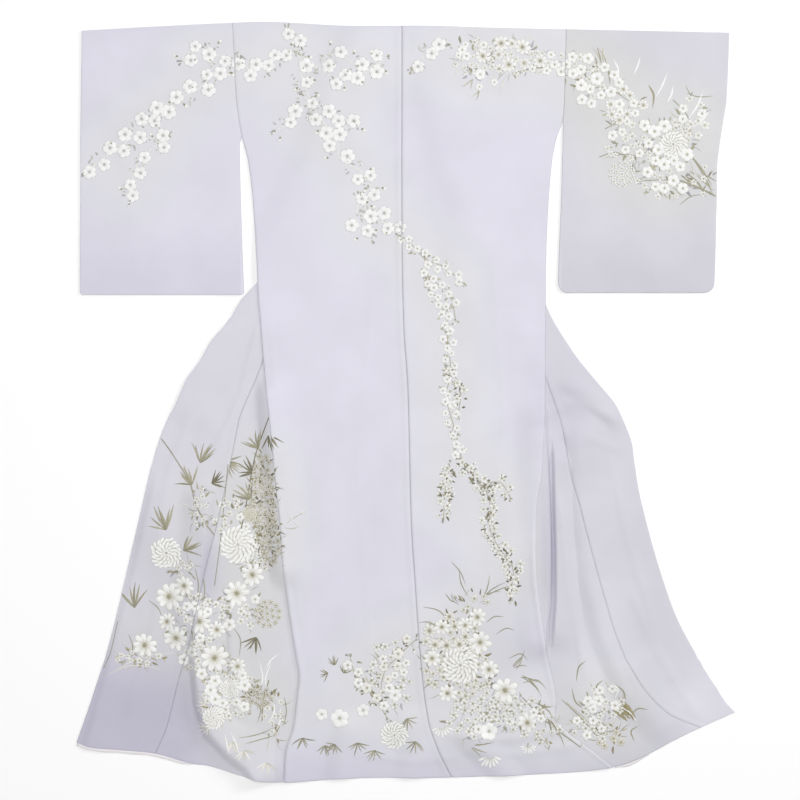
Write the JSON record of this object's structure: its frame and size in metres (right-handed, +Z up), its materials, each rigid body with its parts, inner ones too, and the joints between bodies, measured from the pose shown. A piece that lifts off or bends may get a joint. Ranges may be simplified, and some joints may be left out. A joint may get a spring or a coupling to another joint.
{
  "type": "houmongi kimono",
  "caption": "Lined silk houmongi kimono in pale lavender with white and olive-grey floral embroidery, laid flat back side up with both fronts fanned out.",
  "frame": {"origin": "centre of the garment's bounding box, on the surface that it lies on", "axes": "+Z up from the surface, +Y from hem to shoulder, +X towards the wearer's right sleeve"},
  "size_m": [1.356, 1.5658, 0.0145],
  "materials": {
    "silk": "matte",
    "lining": "matte"
  },
  "bodies": {
    "root": {"back_left": "silk", "back_right": "silk", "front_left": "silk", "front_right": "silk", "okumi_left": "silk", "okumi_right": "silk", "sleeve_left": "silk", "sleeve_right": "silk", "collar": "silk", "hem_roll_left": "lining", "hem_roll_right": "lining"}
  },
  "joints": []
}
